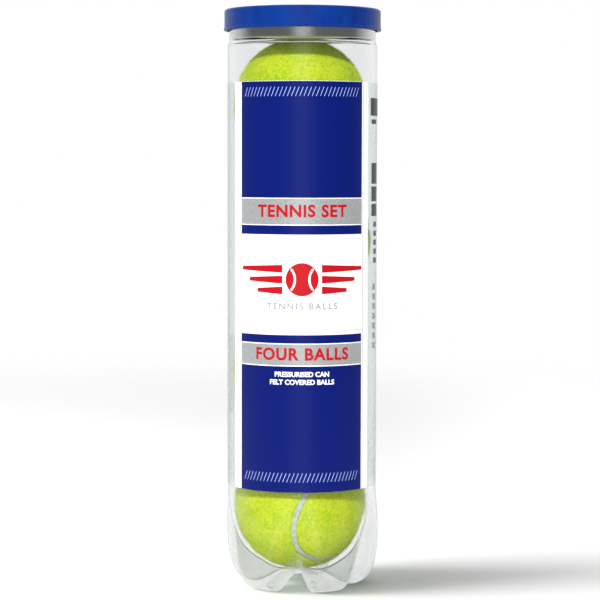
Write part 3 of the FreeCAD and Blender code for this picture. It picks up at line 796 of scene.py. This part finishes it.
# Heights of the print are millimetres above the label's lower edge; its angles are degrees from the front.
UPPER_BLUE = (124.6, 198.0)
LOWER_BLUE = (0.0, 76.3)
UPPER_SILVER = (129.2, 142.0)
LOWER_SILVER = (61.4, 72.0)
PANEL_ARC = (-62.0, 60.0)
BLUE_ARC = (-52.5, 51.0)


def print_height(above):
    """Height in the can of a spot so many millimetres above the label's lower edge."""
    return LABEL_LOW.z + above * MM


def make_label():
    """Clear film with its inks in four layers: white, blue and grey, silver, lettering."""
    film = turned("label_film", [
        Vector((FILM_RADIUS - 0.12 * MM, LABEL_LOW.z)), Vector((FILM_RADIUS - 0.07 * MM, LABEL_LOW.z)),
        Vector((FILM_RADIUS - 0.07 * MM, LABEL_HIGH.z)), Vector((FILM_RADIUS - 0.12 * MM, LABEL_HIGH.z))],
        FILM, 200)
    settle(film, "can", "label_film", "label")
    layer = [FILM_RADIUS - depth * MM for depth in (0.05, 0.035, 0.02, 0.0)]
    left, right = arc(PANEL_ARC[0]), arc(PANEL_ARC[1])
    inner_left, inner_right = arc(BLUE_ARC[0]), arc(BLUE_ARC[1])
    patches("white_panel", [(left, right, LABEL_LOW.z, LABEL_HIGH.z)], layer[0], WHITE_INK)
    patches("blue_fields", [
        (inner_left, inner_right, print_height(low), print_height(high))
        for low, high in (UPPER_BLUE, LOWER_BLUE)], layer[1], BLUE_INK)
    silver = [UPPER_SILVER, LOWER_SILVER]
    patches("silver_bands", [
        (inner_left, inner_right, print_height(low), print_height(high)) for low, high in silver],
        layer[2], SILVER_INK)
    line = 0.45 * MM
    patches("band_edge_lines", [
        (inner_left, inner_right, print_height(edge) - line / 2, print_height(edge) + line / 2)
        for band in silver for edge in band], layer[2] + 0.01 * MM, WHITE_INK)
    patches("panel_side_lines", [
        (side - 0.15 * MM, side + 0.15 * MM, LABEL_LOW.z, LABEL_HIGH.z)
        for side in (left + 2.2 * MM, inner_left - 1.0 * MM, inner_right + 1.0 * MM)], layer[1], GREY_INK)
    for name, above in (("stroke_row_upper", 193.0), ("stroke_row_lower", 7.2)):
        stroke_row(name, 31, inner_left + 3.6 * MM, inner_right - 3.6 * MM, print_height(above),
                   0.3 * MM, 4.4 * MM, 0.4, PALE_INK, layer[2])
    for name, above in (("stitch_row_upper", 122.6), ("stitch_row_lower", 78.2)):
        stroke_row(name, 52, inner_left + 0.5 * MM, inner_right - 0.5 * MM, print_height(above),
                   0.7 * MM, 0.5 * MM, 0.0, GREY_INK, layer[1])
    lettering("upper_word", "TENNIS SET", 5.6 * MM, 0, print_height(135.6), RED_INK, layer[3], 1.1)
    lettering("lower_word", "FOUR BALLS", 5.6 * MM, 0, print_height(66.7), RED_INK, layer[3], 1.1)
    lettering("small_words", "PRESSURISED CAN", 2.3 * MM, 0, print_height(57.2), WHITE_INK, layer[3])
    lettering("small_words_below", "FELT COVERED BALLS", 2.3 * MM, 0, print_height(53.4), WHITE_INK, layer[3])
    lettering("middle_words", "TENNIS BALLS", 3.0 * MM, 0, print_height(90.0), GREY_INK, layer[2], 1.35)
    make_emblem(layer[2])
    make_side_print(layer[1])


def make_emblem(radius):
    """Plain device of a ball in flight: a disc with two seam arcs and speed bars each side."""
    middle = print_height(103.0)
    size = 8.0 * MM
    curve = bpy.data.curves.new("ball_device", "CURVE")
    curve.dimensions = "2D"
    curve.fill_mode = "BOTH"
    loops = [circle(0, 0, size, 64)]
    for side in (-1, 1):
        outer, inner = [], []
        for step in range(13):
            turn = math.radians(-40 + 80 * step / 12)
            reach = size * 1.05
            outer.append((side * (size * 1.42 - reach * math.cos(turn)), reach * math.sin(turn)))
            thin = size * 0.92
            inner.append((side * (size * 1.42 - thin * math.cos(turn)), thin * math.sin(turn)))
        loops.append(outer + inner[::-1])
        for row in range(3):
            level = (1 - row) * 5.2 * MM
            near = side * (size + 1.6 * MM)
            far = side * (size + (25.0 - 5.0 * row) * MM)
            loops.append([(near, level - 1.9 * MM), (far, level - 0.9 * MM), (far, level + 0.9 * MM),
                          (near, level + 1.9 * MM)])
    closed_loops(curve, loops)
    mesh = drawn_mesh("ball_device", curve)
    mesh.transform(Matrix.Translation((0, middle, 0)))
    wrap_flat("ball_device", mesh, RED_INK, radius)


def make_side_print(radius):
    """Plain bars where the wrap's side panels carry print."""
    bars = []
    for low, high, start, end in (
            (182.0, 190.6, 64, 90), (178.0, 180.2, 66, 78), (133.0, 139.0, 66, 80), (140.2, 147.5, 66, 80),
            (148.8, 159.0, 66, 80)):
        bars.append((arc(start), arc(end), print_height(low), print_height(high)))
    for row in range(5):
        low = 110.0 + 4.4 * row
        bars.append((arc(71), arc(78), print_height(low), print_height(low + 2.6)))
    bars.append((arc(-152), arc(-112), print_height(31.0), print_height(70.9)))
    patches("side_bars", bars, radius, DARK_INK)
    grey = [
        (arc(70), arc(75), print_height(68 + 4.8 * row), print_height(71 + 4.8 * row)) for row in range(7)]
    patches("side_marks", grey, radius, GREY_INK)


# ------------------------------------------------------------------ balls

BALL_COUNT = 4
SEAM_HALF = 1.35 * MM
GROOVE_HALF = 2.3 * MM
GROOVE_DEPTH = 1.1 * MM
FELT_UNDER = 0.2 * MM
NAP_DENSITY = 2.4e6
NAP_LENGTH = 1.25 * MM
NAP_WIDTH = 0.07 * MM
SEAM_WIDE, SEAM_NARROW = 0.75, 0.25
SEAM_TALL = 2 * math.sqrt(SEAM_WIDE * SEAM_NARROW)


def seam_line(count):
    """Unit vectors along the seam of a tennis ball, and the seam's direction at each."""
    turn = np.linspace(0, 2 * math.pi, count, endpoint=False)
    spots = np.stack([
        SEAM_WIDE * np.cos(turn) + SEAM_NARROW * np.cos(3 * turn),
        SEAM_WIDE * np.sin(turn) - SEAM_NARROW * np.sin(3 * turn),
        SEAM_TALL * np.sin(2 * turn)], axis=1)
    along = np.roll(spots, -1, axis=0) - np.roll(spots, 1, axis=0)
    return spots, along / np.linalg.norm(along, axis=1)[:, None]


def ball_place(number):
    """Centre and radius of a ball, from the boxes of its felt and seam."""
    boxes = [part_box(f"ball_{number}_{part}") for part in ("felt_a", "felt_b", "seam")]
    low = Vector([min(box[0][axis] for box in boxes) for axis in range(3)])
    high = Vector([max(box[1][axis] for box in boxes) for axis in range(3)])
    return (low + high) / 2, (high.z - low.z) / 2


def unit_ball():
    """Points and faces of a ball of radius one, and each point's angle from the seam."""
    work = bmesh.new()
    bmesh.ops.create_icosphere(work, subdivisions=7, radius=1.0)
    spots = np.array([vertex.co for vertex in work.verts])
    faces = [[vertex.index for vertex in face.verts] for face in work.faces]
    work.free()
    seam, _ = seam_line(900)
    nearness = np.concatenate([(chunk @ seam.T).max(axis=1) for chunk in np.array_split(spots, 8)])
    return spots, faces, np.arccos(np.clip(nearness, -1, 1))


BALL_SPOTS, BALL_FACES, SEAM_ANGLE = unit_ball()


def nap_tree():
    """Geometry nodes: short bent fibres that stand on the felt, thinner where nap is low."""
    tree = bpy.data.node_groups.new("felt_nap", "GeometryNodeTree")
    face = tree.interface
    face.new_socket("Geometry", in_out="OUTPUT", socket_type="NodeSocketGeometry")
    face.new_socket("Geometry", in_out="INPUT", socket_type="NodeSocketGeometry")
    for name in ("Density", "Fibre Length", "Fibre Width"):
        face.new_socket(name, in_out="INPUT", socket_type="NodeSocketFloat")
    face.new_socket("Seed", in_out="INPUT", socket_type="NodeSocketInt")
    face.new_socket("Felt", in_out="INPUT", socket_type="NodeSocketMaterial")
    given = tree.nodes.new("NodeGroupInput").outputs
    nap = add_node(tree, "GeometryNodeInputNamedAttribute", {"Name": "nap"}, data_type="FLOAT")
    density = maths(tree, "MULTIPLY", given["Density"], nap.outputs["Attribute"])
    spread = add_node(tree, "GeometryNodeDistributePointsOnFaces", {
        "Mesh": given["Geometry"], "Density": density, "Seed": given["Seed"]})
    strip = add_node(tree, "GeometryNodeMeshGrid", {
        "Size X": given["Fibre Width"], "Size Y": given["Fibre Length"], "Vertices X": 2, "Vertices Y": 3})
    spot = add_node(tree, "GeometryNodeInputPosition")
    parts = add_node(tree, "ShaderNodeSeparateXYZ", {0: spot.outputs[0]})
    share = maths(tree, "DIVIDE", parts.outputs[1], given["Fibre Length"])
    square = maths(tree, "MULTIPLY", share, share)
    bow = maths(tree, "MULTIPLY", square, given["Fibre Length"])
    up = maths(tree, "MULTIPLY", given["Fibre Length"], 0.5)
    rise = maths(tree, "ADD", parts.outputs[1], up)
    stood = add_node(tree, "ShaderNodeCombineXYZ", {
        0: parts.outputs[0], 1: bow, 2: rise})
    fibre = add_node(tree, "GeometryNodeSetPosition", {
        "Geometry": strip.outputs["Mesh"], "Position": stood.outputs[0]})
    lean = add_node(tree, "FunctionNodeRandomValue", {
        0: (-1.05, -1.05, 0.0), 1: (1.05, 1.05, 6.28), "Seed": given["Seed"]}, data_type="FLOAT_VECTOR")
    turn = add_node(tree, "FunctionNodeEulerToRotation", {0: lean.outputs[0]})
    stand = add_node(tree, "FunctionNodeRotateRotation", {
        "Rotation": spread.outputs["Rotation"], "Rotate By": turn.outputs[0]}, rotation_space="LOCAL")
    size = add_node(tree, "FunctionNodeRandomValue", {
        2: 0.45, 3: 1.0, "Seed": given["Seed"]}, data_type="FLOAT")
    placed = add_node(tree, "GeometryNodeInstanceOnPoints", {
        "Points": spread.outputs["Points"], "Instance": fibre.outputs[0],
        "Rotation": stand.outputs[0], "Scale": size.outputs[1]})
    real = add_node(tree, "GeometryNodeRealizeInstances", {0: placed.outputs[0]})
    dyed = add_node(tree, "GeometryNodeSetMaterial", {
        "Geometry": real.outputs[0], "Material": given["Felt"]})
    add_node(tree, "NodeGroupOutput", {0: dyed.outputs[0]})
    return tree


NAP_TREE = nap_tree()


def make_ball(number):
    """Felt with lumps and a groove along the seam, its nap, and the seam; the cores get rubber."""
    centre, radius = ball_place(number)
    yaw, pitch, roll = (math.radians(angle) for angle in BALL_TURNS[number - 1])
    turn = np.array(Euler((roll, pitch, yaw), "XYZ").to_matrix())
    directions = BALL_SPOTS @ turn.T
    aside = SEAM_ANGLE * radius
    groove = eased(np.clip((aside - SEAM_HALF) / (GROOVE_HALF - SEAM_HALF), 0, 1))
    body = f"ball_{number}"
    vertices = []
    for direction, deep in zip(directions, groove):
        spot = Vector(direction) * radius
        broad = noise.noise((spot + centre) / (4.2 * MM)) * 0.1
        lumps = broad + noise.noise((spot + centre) / (1.2 * MM)) * 0.09
        reach = radius + lumps * MM - FELT_UNDER - (1 - deep) * GROOVE_DEPTH
        vertices.append(centre + Vector(direction) * reach)
    felt = piece(body + "_felt", vertices, BALL_FACES, FELT)
    nap = felt.data.attributes.new("nap", "FLOAT", "POINT")
    facing = np.clip((0.96 - np.abs(directions[:, 2])) / 0.05, 0, 1)
    nap.data.foreach_set("value", (groove * facing).astype(np.float32))
    settle(felt, body, "ball_felt", body + "_felt_a", body + "_felt_b")
    mesh = grown(body + "_nap", NAP_TREE, {
        "Density": NAP_DENSITY, "Fibre Length": NAP_LENGTH, "Fibre Width": NAP_WIDTH, "Seed": number,
        "Felt": NAP}, felt.data)
    fibres = bpy.data.objects.new(body + "_nap", mesh)
    bpy.context.collection.objects.link(fibres)
    settle(fibres, body, "ball_felt")
    make_seam(body, centre, radius, turn)
    for half in ("core_lower", "core_upper"):
        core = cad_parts[f"{body}_{half}"]
        core.data.materials.clear()
        core.data.materials.append(RUBBER)


def make_seam(body, centre, radius, turn):
    """Band of cement that fills the gap between the felt panels, a little below their face."""
    spots, along = seam_line(420)
    spots, along = spots @ turn.T, along @ turn.T
    across = np.cross(spots, along)
    section = [
        (-1.0, -1.5), (-0.92, -0.55), (-0.45, -0.42), (0, -0.38), (0.45, -0.42), (0.92, -0.55), (1.0, -1.5)]
    vertices = []
    for spot, side in zip(spots, across):
        for share, drop in section:
            angle = share * SEAM_HALF / radius
            direction = spot * math.cos(angle) + side * math.sin(angle)
            vertices.append(centre + Vector(direction) * (radius + drop * MM))
    count = len(section)
    faces = []
    for row in range(len(spots)):
        here, there = row * count, ((row + 1) % len(spots)) * count
        for index in range(count):
            following = (index + 1) % count
            faces.append((here + index, there + index, there + following, here + following))
    seam = piece(body + "_seam_line", vertices, faces, CEMENT)
    settle(seam, body, "seam_cement", body + "_seam")


# ------------------------------------------------------------------ studio

# Each lamp's name, place, size in metres, watts and whether it lights only the floor.
LAMPS = [
    ("left_key", (-1.3, -0.28, 0.62), 0.4, 2.0, False),
    ("floor_key", (-1.3, -0.28, 0.62), 1.0, 60.0, True),
    ("front_key", (-0.12, -1.55, 1.2), 0.22, 36.0, False),
    ("front_fill", (-0.1, -1.7, 0.4), 1.0, 9.0, False)]
LAMP_AIM = Vector((0, 0, 0.14))
FLOOR_RADIUS = 2
FLOOR_SIDES = 36


def make_studio():
    rim = [(*spot, 0) for spot in circle(0, 0, FLOOR_RADIUS, FLOOR_SIDES)]
    floor = piece("studio_floor", rim, [list(range(FLOOR_SIDES))], studio_floor())
    lit = bpy.data.collections.new("floor_only")
    bpy.context.scene.collection.children.link(lit)
    lit.objects.link(floor)
    unlit = bpy.data.collections.new("all_but_floor")
    unlit.objects.link(floor)
    unlit.collection_objects[0].light_linking.link_state = "EXCLUDE"
    make_world()
    for name, spot, size, power, floor_only in LAMPS:
        lamp = bpy.data.lights.new(name, "AREA")
        lamp.shape = "DISK"
        lamp.size = size
        lamp.energy = power
        holder = bpy.data.objects.new(name, lamp)
        holder.visible_glossy = False
        holder.visible_transmission = False
        holder.light_linking.receiver_collection = lit if floor_only else unlit
        holder.location = spot
        holder.rotation_euler = (LAMP_AIM - Vector(spot)).to_track_quat("-Z", "Y").to_euler()
        bpy.context.collection.objects.link(holder)


def make_world():
    """White room, brighter behind and above, with one soft streak of sheen in front."""
    world = bpy.data.worlds.new("studio")
    bpy.context.scene.world = world
    world.use_nodes = True
    tree = world.node_tree
    shade = tree.nodes["Background"]
    source = add_node(tree, "ShaderNodeTexCoord")
    parts = add_node(tree, "ShaderNodeSeparateXYZ", {0: source.outputs["Generated"]})
    behind = add_node(tree, "ShaderNodeMapRange", {
        "Value": parts.outputs[1], "From Min": 0.0, "From Max": 0.75, "To Min": 0.14, "To Max": 0.85})
    above = add_node(tree, "ShaderNodeMapRange", {
        "Value": parts.outputs[2], "From Min": 0.3, "From Max": 1.0, "To Min": 0.0, "To Max": 0.5})
    both = maths(tree, "ADD", behind.outputs[0], above.outputs[0])
    path = add_node(tree, "ShaderNodeLightPath")
    clear = maths(tree, "MULTIPLY", both, path.outputs["Is Transmission Ray"])
    lifted = maths(tree, "MULTIPLY_ADD", clear, 0.3, both)
    aside = maths(tree, "ABSOLUTE", parts.outputs[0])
    middle = add_node(tree, "ShaderNodeMapRange", {
        "Value": aside, "From Min": 0.42, "From Max": 0.02}, interpolation_type="SMOOTHSTEP")
    ahead = add_node(tree, "ShaderNodeMapRange", {
        "Value": parts.outputs[1], "From Min": -0.6, "From Max": -0.9})
    sheen = maths(tree, "MULTIPLY", middle.outputs[0], ahead.outputs[0])
    front = maths(tree, "MULTIPLY_ADD", sheen, 0.5, lifted)
    seen = maths(tree, "MAXIMUM", front, path.outputs["Is Camera Ray"])
    tree.links.new(seen, shade.inputs["Strength"])
    shade.inputs["Color"].default_value = (1, 1, 1, 1)


CAMERA_SPOT = Vector((-0.001, -1.078, 0.211))
CAMERA_AIM = Vector((-0.001, 0, 0.142))
CAMERA_LEAN = math.radians(-0.12)
FOCAL_LENGTH = 130.4


def make_camera():
    lens = bpy.data.cameras.new("camera")
    lens.lens = FOCAL_LENGTH
    lens.sensor_width = 36
    lens.clip_start = 0.01
    holder = bpy.data.objects.new("camera", lens)
    holder.location = CAMERA_SPOT
    aim = CAMERA_AIM - CAMERA_SPOT
    lean = Matrix.Rotation(CAMERA_LEAN, 4, aim.normalized())
    holder.rotation_euler = (lean @ aim.to_track_quat("-Z", "Y").to_matrix().to_4x4()).to_euler()
    bpy.context.collection.objects.link(holder)
    bpy.context.scene.camera = holder


make_bottle()
make_foot_marks()
make_end()
make_tear_panel()
make_ring_pull()
make_lid()
make_label()
for ball_number in range(1, BALL_COUNT + 1):
    make_ball(ball_number)
make_studio()
make_camera()
bpy.context.scene.view_settings.view_transform = "Standard"
